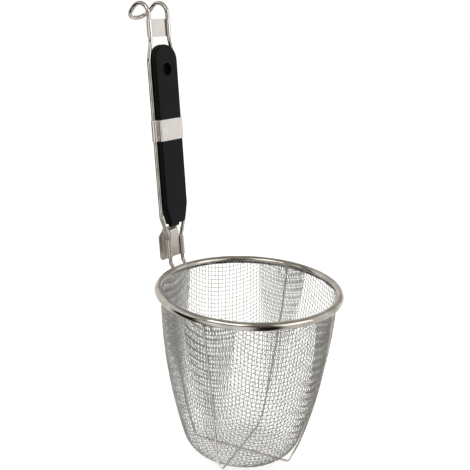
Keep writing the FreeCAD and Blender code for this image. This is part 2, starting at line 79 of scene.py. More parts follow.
def linear_colour(code: str) -> tuple[float, float, float, float]:
    """Turns an sRGB hex colour to linear light.

    Args:
        code: Colour such as "#8a8a88".

    Returns:
        Red, green, blue and alpha in linear light.
    """
    parts = [int(code[i:i + 2], 16) / 255 for i in (1, 3, 5)]
    light = [c / 12.92 if c <= 0.04045 else ((c + 0.055) / 1.055) ** 2.4 for c in parts]
    return (*light, 1.0)


def add_node(tree: NodeTree, kind: str, settings: dict | None = None,
             links: dict | None = None) -> Node:
    """Adds a node with its settings and links.

    Args:
        tree: Node tree that takes the node.
        kind: Name of the shader node's type, without "ShaderNode".
        settings: Attribute names or input sockets to values. "stops" holds a ramp's colours.
        links: Input sockets to the output sockets that feed them.

    Returns:
        The new node.
    """
    node = tree.nodes.new(f"ShaderNode{kind}")
    for key, setting in (settings or {}).items():
        if key == "stops":
            ramp = node.color_ramp.elements
            while len(ramp) < len(setting):
                ramp.new(0.5)
            for element, (position, colour) in zip(ramp, setting):
                element.position = position
                element.color = colour
        elif isinstance(key, str) and hasattr(node, key):
            setattr(node, key, setting)
        else:
            node.inputs[key].default_value = setting
    for key, source in (links or {}).items():
        tree.links.new(source, node.inputs[key])
    return node


def per_mm(length: float) -> float:
    """Texture scale at which one feature is a length in millimetres."""
    return 1.0 / (length * MM)


def make_object(name: str, points: np.ndarray, faces: list | np.ndarray,
                material: Material) -> Object:
    """Makes a smooth-shaded mesh object.

    Args:
        name: Object name.
        points: Vertices in millimetres.
        faces: Vertex indices of each face.
        material: Finish of the whole piece.

    Returns:
        The object, linked to the scene.
    """
    mesh = bpy.data.meshes.new(name)
    rows = faces.tolist() if isinstance(faces, np.ndarray) else faces
    mesh.from_pydata((np.asarray(points) * MM).tolist(), [], rows)
    mesh.update()
    mesh.shade_smooth()
    mesh.materials.append(material)
    item = bpy.data.objects.new(name, mesh)
    bpy.context.scene.collection.objects.link(item)
    return item


def grid_faces(rows: int, cols: int, wrap_rows: bool, wrap_cols: bool) -> np.ndarray:
    """Four-sided faces of a grid of points that are numbered row by row.

    Args:
        rows: Number of rows.
        cols: Number of columns.
        wrap_rows: Whether the last row joins the first.
        wrap_cols: Whether the last column joins the first.

    Returns:
        Vertex indices, four for each face.
    """
    row, col = np.meshgrid(np.arange(rows if wrap_rows else rows - 1),
                           np.arange(cols if wrap_cols else cols - 1), indexing="ij")
    below, beside = (row + 1) % rows, (col + 1) % cols
    faces = [row * cols + col, row * cols + beside, below * cols + beside, below * cols + col]
    return np.stack(faces, axis=-1).reshape(-1, 4)


def unit(vectors: np.ndarray) -> np.ndarray:
    """Vectors scaled to length one."""
    return vectors / np.maximum(np.linalg.norm(vectors, axis=-1, keepdims=True), 1e-12)


def tangents(points: np.ndarray) -> np.ndarray:
    """Unit directions along a line of points."""
    return unit(np.gradient(points, axis=0))


def carried_normals(points: np.ndarray) -> np.ndarray:
    """Normals carried along a line without twisting.

    Args:
        points: Line of points.

    Returns:
        One unit normal for each point.
    """
    along = tangents(points)
    start = np.cross(along[0], [0.0, 0.0, 1.0])
    if np.linalg.norm(start) < 1e-3:
        start = np.cross(along[0], [1.0, 0.0, 0.0])
    normals = [unit(start)]
    for direction in along[1:]:
        kept = normals[-1] - direction * np.dot(normals[-1], direction)
        normals.append(unit(kept))
    return np.array(normals)


def tube(points: np.ndarray, radius: float, sides: int,
         normals: np.ndarray | None = None) -> tuple[np.ndarray, np.ndarray]:
    """Round tube along a line, open at both ends.

    Args:
        points: Centre line.
        radius: Tube radius.
        sides: Number of flats round the tube.
        normals: One normal for each point, or None to carry one along the line.

    Returns:
        Vertices and four-sided faces.
    """
    along = tangents(points)
    normal = carried_normals(points) if normals is None else normals
    normal = unit(normal - along * np.sum(normal * along, axis=1, keepdims=True))
    other = np.cross(along, normal)
    turn = np.arange(sides) * 2 * math.pi / sides
    ring = (np.cos(turn)[None, :, None] * normal[:, None, :]
            + np.sin(turn)[None, :, None] * other[:, None, :])
    vertices = points[:, None, :] + radius * ring
    return vertices.reshape(-1, 3), grid_faces(len(points), sides, False, True)


def capped_tube(points: np.ndarray, radius: float, sides: int) -> tuple[np.ndarray, list]:
    """Round tube with both ends closed by slightly domed caps.

    Args:
        points: Centre line.
        radius: Tube radius.
        sides: Number of flats round the tube.

    Returns:
        Vertices and faces.
    """
    vertices, faces = tube(points, radius, sides)
    rows = faces.tolist()
    along = tangents(points)
    count = len(vertices)
    ends = np.stack([points[0] - along[0] * radius * DOME, points[-1] + along[-1] * radius * DOME])
    last = count - sides
    for side in range(sides):
        after = (side + 1) % sides
        rows.append([count, after, side])
        rows.append([count + 1, last + side, last + after])
    return np.vstack([vertices, ends]), rows


def rounded_line(points: list[Vector], radii: list[float], step: float = 3.0) -> np.ndarray:
    """Straight runs joined by tangent arcs, sampled finely enough to look round.

    Args:
        points: Corners of the line.
        radii: Bend radius at each inner corner.
        step: Turn between samples on a bend, in degrees.

    Returns:
        Samples along the line.
    """
    samples = [points[0]]
    for index, radius in enumerate(radii, start=1):
        corner = points[index]
        back = (points[index - 1] - corner).normalized()
        ahead = (points[index + 1] - corner).normalized()
        half_turn = (math.pi - back.angle(ahead)) / 2
        centre = corner + (back + ahead).normalized() * (radius / math.cos(half_turn))
        enter = corner + back * radius * math.tan(half_turn)
        count = max(3, math.ceil(math.degrees(2 * half_turn) / step))
        run = enter - samples[-1]
        steady = max(1, int(run.length / RUN_STEP))
        samples += [samples[-1] + run * (k / steady) for k in range(1, steady)]
        arm = enter - centre
        axis = arm.cross(-back)
        for k in range(count + 1):
            samples.append(centre + Matrix.Rotation(2 * half_turn * k / count, 3, axis) @ arm)
    run = points[-1] - samples[-1]
    steady = max(1, int(run.length / RUN_STEP))
    samples += [samples[-1] + run * (1 / (steady - k)) for k in range(steady)]
    line = np.array([tuple(p) for p in samples])
    keep = np.ones(len(line), dtype=bool)
    keep[1:] = np.linalg.norm(np.diff(line, axis=0), axis=1) > 1e-4
    return line[keep]


# Finishes

def empty_material(name: str) -> tuple[Material, NodeTree]:
    """Material without nodes, and its node tree."""
    material = bpy.data.materials.new(name)
    material.use_nodes = True
    material.node_tree.nodes.clear()
    return material, material.node_tree


@dataclass(frozen=True)
class Finish:
    """What every finish shares: its name, two close tones and a roughness."""

    name: str
    colour: str
    shade: str
    roughness: float

    def noise(self, tree: NodeTree, place: NodeSocket, length: float,
              detail: float, roughness: float = 0.5) -> NodeSocket:
        """Adds noise with features of a given length.

        Args:
            tree: Node tree that takes the node.
            place: Coordinates.
            length: Size of a feature in millimetres.
            detail: Octaves of finer noise.
            roughness: Share that each finer octave keeps.

        Returns:
            The noise.
        """
        node = add_node(tree, "TexNoise",
                        {"Scale": per_mm(length), "Detail": detail, "Roughness": roughness},
                        {"Vector": place})
        return node.outputs["Fac"]

    def surface(self, tree: NodeTree, body: dict, clouds: tuple, marks: tuple,
                bump: tuple) -> None:
        """Adds the shader with its drifting tone and roughness and its bump.

        Args:
            tree: Node tree that takes the nodes.
            body: Settings of the shader.
            clouds: Noise that moves the tone, and its values for the shade and the colour.
            marks: Noise that moves the roughness, its lowest and highest value, and the
                shares of the roughness there.
            bump: Height of the bump, its strength and its depth in millimetres.
        """
        share, low, high = clouds
        stops = [(low, linear_colour(self.shade)), (high, linear_colour(self.colour))]
        tone = add_node(tree, "ValToRGB", {"stops": stops}, {"Fac": share})
        share, low, high, least, most = marks
        rough = add_node(tree, "MapRange",
                         {"From Min": low, "From Max": high, "To Min": self.roughness * least,
                          "To Max": self.roughness * most}, {"Value": share})
        height, strength, depth = bump
        relief = add_node(tree, "Bump", {"Strength": strength, "Distance": depth * MM},
                          {"Height": height})
        shader = add_node(tree, "BsdfPrincipled", body,
                          {"Base Color": tone.outputs["Color"], "Roughness": rough.outputs["Result"],
                           "Normal": relief.outputs["Normal"]})
        add_node(tree, "OutputMaterial", {}, {"Surface": shader.outputs["BSDF"]})


@dataclass(frozen=True)
class PolishedWireSteel(Finish):
    """Stainless steel wire, drawn bright and then polished: sharp streaks along it."""

    colour: str = "#cfcbc5"
    shade: str = "#a8a49d"
    roughness: float = 0.09
    stain_mm: float = 9.0
    scratch_mm: float = 0.35

    def material(self) -> Material:
        """Node material of bright drawn steel with faint handling marks."""
        material, tree = empty_material(self.name)
        place = add_node(tree, "TexCoord").outputs["Object"]
        stain = self.noise(tree, place, self.stain_mm, 4.0)
        scratch = self.noise(tree, place, self.scratch_mm, 3.0, 0.7)
        self.surface(tree, {"Metallic": 1.0}, (stain, 0.35, 0.65), (scratch, 0.3, 0.7, 0.7, 1.5),
                     (scratch, 0.05, 0.004))
        return material


@dataclass(frozen=True)
class BrushedSheetSteel(Finish):
    """Stainless sheet, brushed before it was cut: fine lines one way, satin glow across them."""

    colour: str = "#e8e5e0"
    shade: str = "#d9d5cf"
    roughness: float = 0.22
    line_mm: float = 0.25
    cloud_mm: float = 7.0
    brushing: Brushing = Brushing.ACROSS

    def material(self) -> Material:
        """Node material with long thin brushing lines in colour, roughness and height."""
        material, tree = empty_material(self.name)
        place = add_node(tree, "TexCoord").outputs["Object"]
        stretch = (0.04, 1.0, 1.0) if self.brushing is Brushing.ACROSS else (1.0, 1.0, 0.04)
        drawn = add_node(tree, "Mapping", {"Scale": stretch}, {"Vector": place})
        lines = self.noise(tree, drawn.outputs["Vector"], self.line_mm, 4.0, 0.65)
        cloud = self.noise(tree, place, self.cloud_mm, 3.0)
        part = add_node(tree, "Math", {"operation": "MULTIPLY_ADD", 1: 0.6, 2: 0.0}, {0: lines})
        both = add_node(tree, "Math", {"operation": "MULTIPLY_ADD", 1: 0.4},
                        {0: cloud, 2: part.outputs["Value"]})
        self.surface(tree, {"Metallic": 1.0}, (both.outputs["Value"], 0.38, 0.62),
                     (lines, 0.35, 0.65, 0.85, 1.2), (lines, 0.12, 0.008))
        return material


@dataclass(frozen=True)
class MouldedPlastic(Finish):
    """Black polypropylene, moulded in a lightly etched tool: satin, with a fine grain."""

    colour: str = "#0d0d0e"
    shade: str = "#090909"
    roughness: float = 0.4
    grain_mm: float = 0.3
    cloud_mm: float = 14.0

    def material(self) -> Material:
        """Node material of satin black plastic with etched grain and slight flow clouds."""
        material, tree = empty_material(self.name)
        place = add_node(tree, "TexCoord").outputs["Object"]
        grain = self.noise(tree, place, self.grain_mm, 2.0)
        cloud = self.noise(tree, place, self.cloud_mm, 3.0)
        self.surface(tree, {"IOR": 1.49, "Specular IOR Level": 0.12}, (cloud, 0.35, 0.65),
                     (cloud, 0.3, 0.7, 0.9, 1.12), (grain, 0.3, 0.03))
        return material


# Shared forms

@dataclass
class CupProfile:
    """Half outline of the cup: flat bottom, round corner and bowed wall, in millimetres."""

    mouth: float = 65.55
    bow: float = 410.0
    bow_height: float = 8.6
    depth: float = 131.6
    corner: float = 22.0
    rib_bend: float = 3.5

    def curve(self, offset: float) -> tuple[tuple, tuple, float]:
        """Circles of the outline at an offset outside the cloth.

        Args:
            offset: Distance outside the cloth's outer face.

        Returns:
            The wall circle and the corner circle, each as centre radius, centre height and
            own radius, and the angle at which they meet.
        """
        bow_x = self.mouth - math.sqrt(self.bow ** 2 - self.bow_height ** 2)
        corner_z = -self.depth + self.corner
        reach = self.bow - self.corner
        corner_x = bow_x + math.sqrt(reach ** 2 - (corner_z - self.bow_height) ** 2)
        meet = math.atan2(corner_z - self.bow_height, corner_x - bow_x)
        wall = (bow_x, self.bow_height, self.bow + offset)
        corner = (corner_x, corner_z, self.corner + offset)
        return wall, corner, meet

    def project(self, points: np.ndarray, offset: float) -> tuple[np.ndarray, np.ndarray]:
        """Nearest points on the cup and their outward normals.

        Args:
            points: Points near the cup.
            offset: Distance of the surface outside the cloth's outer face.

        Returns:
            Points on the surface and unit normals.
        """
        wall, corner, meet = self.curve(offset)
        radius = np.hypot(points[:, 0], points[:, 1])
        around = points[:, :2] / np.maximum(radius, 1e-9)[:, None]
        height = points[:, 2]
        angle = np.arctan2(height - corner[1], radius - corner[0])
        on_floor = radius <= corner[0]
        on_corner = ~on_floor & (angle < meet)
        centre_r = np.where(on_corner, corner[0], wall[0])
        centre_z = np.where(on_corner, corner[1], wall[1])
        size = np.where(on_corner, corner[2], wall[2])
        away = np.stack([radius - centre_r, height - centre_z], axis=1)
        away = unit(away)
        floor_z = corner[1] - corner[2]
        new_r = np.where(on_floor, radius, centre_r + size * away[:, 0])
        new_z = np.where(on_floor, floor_z, centre_z + size * away[:, 1])
        normal_r = np.where(on_floor, 0.0, away[:, 0])
        normal_z = np.where(on_floor, -1.0, away[:, 1])
        placed = np.column_stack([around * new_r[:, None], new_z])
        normals = np.column_stack([around * normal_r[:, None], normal_z])
        return placed, normals

    def rib_line(self, offset: float, top: float, low: float, leave: float) -> np.ndarray:
        """Half outline of a wire that follows the cloth and turns in under the bottom.

        Args:
            offset: Distance of the wire's middle outside the cloth's outer face.
            top: Height where the line starts.
            low: Height of the flat bottom.
            leave: Slope in degrees at which the wire leaves the round corner.

        Returns:
            Points as radius and height.
        """
        wall, corner, meet = self.curve(offset)
        start = math.asin((top - wall[1]) / wall[2])
        points = [(wall[0] + wall[2] * math.cos(a), wall[1] + wall[2] * math.sin(a))
                  for a in np.linspace(start, meet, 40)]
        last = -math.radians(leave)
        points += [(corner[0] + corner[2] * math.cos(a), corner[1] + corner[2] * math.sin(a))
                   for a in np.linspace(meet, last, 8)[1:]]
        fall = points[-1][1] - low
        bend = Vector((points[-1][0] - fall * math.tan(-last), 0.0, low))
        turn = rounded_line([Vector((points[-1][0], 0.0, points[-1][1])), bend, Vector((0.0, 0.0, low))],
                            [self.rib_bend], 8.0)
        return np.vstack([points, turn[1:, [0, 2]]])


@dataclass
class HandleFrame:
    """Leaning frame of the handle: X across, Y away from the basket, Z up the handle."""

    reach: float = 70.4
    lean: float = 7.0

    def place(self, points: np.ndarray) -> np.ndarray:
        """Points of the handle's frame in the basket's frame."""
        turn = np.array(Matrix.Rotation(-math.radians(self.lean), 3, "X"))
        return np.asarray(points, dtype=float) @ turn.T + np.array([0.0, self.reach, 0.0])


# Woven cloth

@dataclass
class WovenCloth:
    """Plain square weave of round wire, drawn into the cup.

    The wires keep their length while the cloth shears, so the cells stay square in four
    quarters of the wall and close up to narrow rhombs between them, along the ribs.
    """

    profile: CupProfile
    wire: float = 0.46
    pitch: float = 3.25
    narrowest: float = 1.3
    crimp: float = 0.15
    top: float = 0.2
    rib_turn: float = 10.4
    reach: int = 60
    still: int = 16
    samples: int = 4
    sides: int = 6
    rounds: int = 260
    settle_rounds: int = 14
    longest_step: float = 0.8
    ripple: float = 0.55
    ripple_lean: float = 0.6
    ripple_start: float = 20.0
    draw_start: float = 9.0
    fade: float = 8.0
    unevenness: float = 0.06
    seed: int = 7
    nodes: np.ndarray = field(init=False, repr=False)
    normals: np.ndarray = field(init=False, repr=False)
    known: np.ndarray = field(init=False, repr=False)

    def spacing(self, i: np.ndarray, j: np.ndarray) -> tuple[np.ndarray, np.ndarray]:
        """Spacing of the crossings along both families.

        Args:
            i: Steps along the first family.
            j: Steps along the second family.

        Returns:
            The spacing along the first and along the second family.
        """
        share = (i ** 2 - j ** 2) / np.maximum(i ** 2 + j ** 2, 1)
        drawn = np.clip((np.maximum(i, j) - self.draw_start) / self.fade, 0, 1)
        change = self.crimp * share * drawn
        return self.pitch + change, self.pitch - change

    def settle(self, first: np.ndarray, second: np.ndarray, before: np.ndarray,
               length_i: np.ndarray, length_j: np.ndarray) -> tuple[np.ndarray, np.ndarray]:
        """Crossings that lie at given distances from two known neighbours.

        Args:
            first: Known neighbours along the first family.
            second: Known neighbours along the second family.
            before: Known crossings diagonally before the new ones.
            length_i: Distances from the first neighbours.
            length_j: Distances from the second neighbours.

        Returns:
            The new crossings and their normals.
        """
        anchors, lengths = np.stack([first, second]), np.stack([length_i, length_j])
        points, normals = self.profile.project(first + second - before, -self.wire)
        for _ in range(self.settle_rounds):
            away = points - anchors
            far = np.linalg.norm(away, axis=2)
            slope = away / far[:, :, None]
            slope -= normals * np.sum(slope * normals, axis=2, keepdims=True)
            a, d = np.sum(slope * slope, axis=2)
            b = np.sum(slope[0] * slope[1], axis=1)
            gap = np.maximum(a * d - b * b, 0.01)
            miss_i, miss_j = lengths - far
            x = (miss_i * d - miss_j * b) / gap
            y = (miss_j * a - miss_i * b) / gap
            step = slope[0] * x[:, None] + slope[1] * y[:, None]
            size = np.linalg.norm(step, axis=1, keepdims=True)
            step *= np.minimum(1.0, self.longest_step / np.maximum(size, 1e-9))
            points, normals = self.profile.project(points + step, -self.wire)
        return points, normals

    def axis_points(self, turn: float) -> tuple[np.ndarray, np.ndarray]:
        """Crossings on the wire that runs straight up the wall from the centre.

        Args:
            turn: Angle of that wire round the axis, in radians.

        Returns:
            Points and normals.
        """
        across = np.array([math.cos(turn), math.sin(turn), 0.0])
        floor = self.profile.project(np.array([[1e-6, 0.0, -200.0]]), -self.wire)
        points, normals = [floor[0][0] * [0, 0, 1]], [floor[1][0]]
        heading = across.copy()
        for count in range(1, self.reach + 1):
            length = float(self.spacing(np.array([count]), np.array([0]))[0][0])
            guess = points[-1] + heading * length
            for _ in range(8):
                spot, normal = self.profile.project(guess[None, :], -self.wire)
                guess = points[-1] + unit(spot[0] - points[-1]) * length
            spot, normal = self.profile.project(guess[None, :], -self.wire)
            heading = unit(spot[0] - points[-1])
            points.append(spot[0])
            normals.append(normal[0])
        return np.array(points), np.array(normals)

    def pairs(self) -> list[tuple]:
        """Pairs of crossings that hold each other, in groups that share no crossing.

        Returns:
            For each group: first and second crossings, rest distances, and whether the
            distance is only a least one, where wires side by side touch.
        """
        count = self.reach + 1
        i, j = (grid.ravel() for grid in np.meshgrid(np.arange(count), np.arange(count), indexing="ij"))
        length_i, length_j = self.spacing(i, j)
        narrow = np.full(count * count, self.narrowest)
        inside = i + j <= self.reach
        groups = []
        for parity in (0, 1):
            along_i = np.flatnonzero(inside & (i > 0) & (i % 2 == parity))
            along_j = np.flatnonzero(inside & (j > 0) & (j % 2 == parity))
            across = np.flatnonzero(inside & (i > 0) & (i % 2 == parity) & (j < self.reach))
            groups.append((along_i - count, along_i, length_i[along_i], False))
            groups.append((along_j - 1, along_j, length_j[along_j], False))
            groups.append((across - count + 1, across, narrow[across], True))
        return groups

    def relax(self, net: np.ndarray, facing: np.ndarray) -> tuple[np.ndarray, np.ndarray]:
        """Lets the net slide on the cup until wires that crowd together have their room.

        Args:
            net: Crossings of one quarter.
            facing: Their normals.

        Returns:
            The settled crossings and normals.
        """
        count = self.reach + 1
        i, j = np.meshgrid(np.arange(count), np.arange(count), indexing="ij")
        loose = ((i > 0) & (j > 0) & (i + j <= self.reach) & (i + j > self.still)).ravel()
        points, normals = net.reshape(-1, 3).copy(), facing.reshape(-1, 3).copy()
        give = loose.astype(float)
        groups = self.pairs()
        for _ in range(self.rounds):
            for first, second, rest, least in groups:
                apart = points[second] - points[first]
                far = np.maximum(np.linalg.norm(apart, axis=1), 1e-9)
                miss = np.minimum(far - rest, 0.0) if least else far - rest
                share = miss / (far * np.maximum(give[first] + give[second], 1e-9))
                points[first] += apart * (share * give[first])[:, None]
                points[second] -= apart * (share * give[second])[:, None]
            points[loose], normals[loose] = self.profile.project(points[loose], -self.wire)
        return points.reshape(count, count, 3), normals.reshape(count, count, 3)

    def rippled(self, full: int) -> np.ndarray:
        """How far the rows of crossings lean out and in where the cloth is drawn narrow.

        Args:
            full: Number of crossings across the whole net.

        Returns:
            Distance outwards of each crossing.
        """
        steps = np.abs(np.arange(full) - self.reach)
        i, j = np.meshgrid(steps, steps, indexing="ij")
        share = 4 * i * j / np.maximum(i + j, 1) ** 2
        narrow = np.clip((share - 0.45) / 0.4, 0, 1)
        narrow *= np.clip((i + j - self.ripple_start) / self.fade, 0, 1)
        return self.ripple * narrow * (np.where((i + j) % 2 == 0, 1.0, -1.0) - self.ripple_lean)

    def solve(self) -> None:
        """Works out every crossing of the net, one quarter at a time."""
        count = self.reach + 1
        quarter = np.zeros((count, count, 3))
        facing = np.zeros((count, count, 3))
        base = math.radians(self.rib_turn + 45)
        first, first_normals = self.axis_points(base)
        second, second_normals = self.axis_points(base + math.pi / 2)
        quarter[:, 0], facing[:, 0] = first, first_normals
        quarter[0, :], facing[0, :] = second, second_normals
        for total in range(2, self.reach + 1):
            i = np.arange(1, total)
            j = total - i
            length_i, length_j = self.spacing(i, j)
            quarter[i, j], facing[i, j] = self.settle(
                quarter[i - 1, j], quarter[i, j - 1], quarter[i - 1, j - 1], length_i, length_j)
        quarter, facing = self.relax(quarter, facing)
        rng = np.random.default_rng(self.seed)
        full = 2 * self.reach + 1
        self.nodes = np.full((full, full, 3), np.nan)
        self.normals = np.zeros((full, full, 3))
        steps = np.arange(count)
        i, j = np.meshgrid(steps, steps, indexing="ij")
        inside = (i + j) <= self.reach
        for quadrant in range(4):
            turn = quadrant * math.pi / 2
            spin = np.array([[math.cos(turn), -math.sin(turn), 0],
                             [math.sin(turn), math.cos(turn), 0], [0, 0, 1]])
            far_i, far_j = i, j
            for _ in range(quadrant):
                far_i, far_j = -far_j, far_i
            rows, cols = far_i[inside] + self.reach, far_j[inside] + self.reach
            self.nodes[rows, cols] = quarter[inside] @ spin.T
            self.normals[rows, cols] = facing[inside] @ spin.T
        wander = rng.normal(0.0, self.unevenness, self.nodes.shape)
        wander -= self.normals * np.sum(wander * self.normals, axis=2, keepdims=True)
        self.nodes += wander + self.normals * self.rippled(full)[:, :, None]
        self.known = ~np.isnan(self.nodes[:, :, 0])

    def wire_line(self, family: WireFamily, index: int) -> tuple[np.ndarray, np.ndarray] | None:
        """Centre line of one wire, waving over and under the wires that it crosses.

        Args:
            family: Family of the wire.
            index: Place of the wire in its family, from 0.

        Returns:
            Points and normals up to the rim, or None where the wire is too short.
        """
        pick = (slice(None), index) if family is WireFamily.WARP else index
        nodes, normals, known = self.nodes[pick], self.normals[pick], self.known[pick]
        places = np.flatnonzero(known)
        if len(places) < 4:
            return None
        parity = np.where((places + index) % 2 == 0, 1.0, -1.0) * family.value
        knots = nodes[places] + normals[places] * (parity * self.wire / 2)[:, None]
        slopes = np.gradient(nodes[places], axis=0)
        share = np.arange(self.samples)[:, None, None] / self.samples
        start, end = knots[:-1][None], knots[1:][None]
        leave, arrive = slopes[:-1][None], slopes[1:][None]
        line = ((2 * share ** 3 - 3 * share ** 2 + 1) * start
                + (share ** 3 - 2 * share ** 2 + share) * leave
                + (3 * share ** 2 - 2 * share ** 3) * end + (share ** 3 - share ** 2) * arrive)
        facing = (1 - share) * normals[places][:-1][None] + share * normals[places][1:][None]
        points = line.transpose(1, 0, 2).reshape(-1, 3)
        facings = facing.transpose(1, 0, 2).reshape(-1, 3)
        keep = points[:, 2] < self.top
        if keep.sum() < 4:
            return None
        used = np.flatnonzero(keep)
        span = slice(used[0], used[-1] + 1)
        return points[span], unit(facings[span])

    def build(self, material: Material) -> list[Object]:
        """Builds the cloth in four pieces, two for each family.

        Args:
            material: Finish of the wire.

        Returns:
            The pieces.
        """
        self.solve()
        pieces = []
        for family in WireFamily:
            for half, indices in enumerate((range(self.reach), range(self.reach, 2 * self.reach + 1))):
                vertices, faces, count, crossings = [], [], 0, 0
                for index in indices:
                    line = self.wire_line(family, index)
                    if line is None:
                        continue
                    ring, quads = tube(line[0], self.wire / 2, self.sides, line[1])
                    vertices.append(ring)
                    faces.append(quads + count)
                    count += len(ring)
                    crossings += len(line[0]) // self.samples
                name = f"woven_{family.name.lower()}_{half + 1}"
                piece = make_object(name, np.vstack(vertices), np.vstack(faces), material)
                LOG.info("%s: %d crossings, %d triangles", name, crossings, 2 * len(np.vstack(faces)))
                pieces.append(piece)
        return pieces


# Rim

@dataclass
class RolledRim:
    """Steel strip rolled round the cloth's edge to a bead, open below on the inside."""

    radius: float = 67.0
    bead: float = 3.0
    strip: float = 0.5
    slot_start: float = 187.0
    slot_end: float = 243.0
    around: int = 300

    def section(self) -> np.ndarray:
        """Closed outline of the rolled strip, as radius and height."""
        turns = np.radians(np.linspace(self.slot_end - 360, self.slot_start, 44))
        arc = np.column_stack([np.cos(turns), np.sin(turns)])
        return np.vstack([arc * self.bead, arc[::-1] * (self.bead - self.strip)]) + [self.radius, 0.0]

    def build(self, material: Material) -> Object:
        """Turns the outline round the axis.

        Args:
            material: Finish of the strip.

        Returns:
            The rim.
        """
        outline = self.section()
        turn = np.arange(self.around) * 2 * math.pi / self.around
        ring = np.stack([np.cos(turn), np.sin(turn)], axis=1)
        points = np.concatenate([
            ring[:, None, :] * outline[None, :, :1],
            np.broadcast_to(outline[None, :, 1:], (self.around, len(outline), 1))], axis=2)
        faces = grid_faces(self.around, len(outline), True, True)[:, [0, 3, 2, 1]]
        piece = make_object("rolled_rim", points.reshape(-1, 3), faces, material)
        LOG.info("rolled_rim: bead %.1f mm on radius %.1f mm", 2 * self.bead, self.radius)
        return piece


# Ribs

@dataclass
class RibWires:
    """Two U-shaped wires outside the cloth, one passing under the other at the bottom."""

    profile: CupProfile
    wire: float = 1.6
    stand_off: float = 0.35
    turn: float = 10.4
    twist: float = 2.5
    bowed: float = 3.5
    leave_a: float = 40.0
    leave_b: float = 22.0
    top: float = -3.1
    low: float = -133.25
    drop: float = 1.65
    sides: int = 20

    def build(self, material: Material) -> list[Object]:
        """Builds both ribs.

        Args:
            material: Finish of the wires.

        Returns:
            The upper and the lower rib.
        """
        offset = self.wire / 2 + self.stand_off
        ribs = []
        for name, turn, low, leave, bowed in (
                ("rib_a", self.turn, self.low, self.leave_a, self.bowed),
                ("rib_b", self.turn + 90, self.low - self.drop, self.leave_b, 0.0)):
            half = self.profile.rib_line(offset, self.top, low, leave)
            flat = np.vstack([half * [-1, 1], half[-2::-1]])
            down = flat[:, 1] / low
            bent = bowed * np.sin(np.pi * down) * (flat[:, 0] < 0)
            spin = np.radians(turn - self.twist * (1 - 2 * down) + bent)
            line = np.column_stack([flat[:, 0] * np.cos(spin), flat[:, 0] * np.sin(spin), flat[:, 1]])
            points, faces = capped_tube(line, self.wire / 2, self.sides)
            ribs.append(make_object(name, points, faces, material))
            LOG.info("%s: %.1f mm wire, bottom at %.1f mm", name, self.wire, low)
        return ribs


# Handle

@dataclass
class HandleWire:
    """One wire: feet on the rim, legs beside the grip, and the hook curled away."""

    frame: HandleFrame
    wire: float = 3.1
    foot_half: float = 7.2
    foot_height: float = 4.8
    foot_turn: float = 45.0
    foot_length: float = 5.3
    foot_bend: float = 4.0
    splay_start: float = 24.6
    splay_end: float = 42.5
    splay_bend: float = 6.0
    grip_half: float = 13.8
    shoulder_start: float = 160.5
    shoulder_end: float = 175.0
    shoulder_bend: float = 15.0
    top_half: float = 10.2
    hook_start: float = 193.6
    hook_radius: float = 8.5
    hook_turn: float = 131.0
    hook_run: float = 2.5
    tip_bend: float = 9.0
    sides: int = 28

    def line(self) -> np.ndarray:
        """Centre line of the wire in the handle's frame."""
        foot = math.radians(self.foot_turn)
        hook = math.radians(self.hook_turn)
        reach = self.hook_radius * math.tan(hook / 2)
        fall = reach + self.hook_run + self.tip_bend
        corner = self.hook_start + reach
        side = [
            (self.foot_half, -self.foot_length * math.sin(foot),
             self.foot_height - self.foot_length * math.cos(foot)),
            (self.foot_half, 0, self.foot_height),
            (self.foot_half, 0, self.splay_start),
            (self.grip_half, 0, self.splay_end),
            (self.grip_half, 0, self.shoulder_start),
            (self.top_half, 0, self.shoulder_end),
            (self.top_half, 0, corner),
            (self.top_half, fall * math.sin(hook), corner + fall * math.cos(hook)),
        ]
        points = [Vector(p) for p in side] + [Vector((-x, y, z)) for x, y, z in reversed(side)]
        radii = [self.foot_bend, self.splay_bend, self.splay_bend, self.shoulder_bend,
                 self.shoulder_bend, self.hook_radius, self.tip_bend]
        return rounded_line(points, radii + radii[::-1])

    def build(self, material: Material) -> Object:
        """Builds the wire.

        Args:
            material: Finish of the wire.

        Returns:
            The wire.
        """
        points, faces = capped_tube(self.frame.place(self.line()), self.wire / 2, self.sides)
        piece = make_object("handle_hairpin", points, faces, material)
        LOG.info("handle_hairpin: %.1f mm wire", self.wire)
        return piece


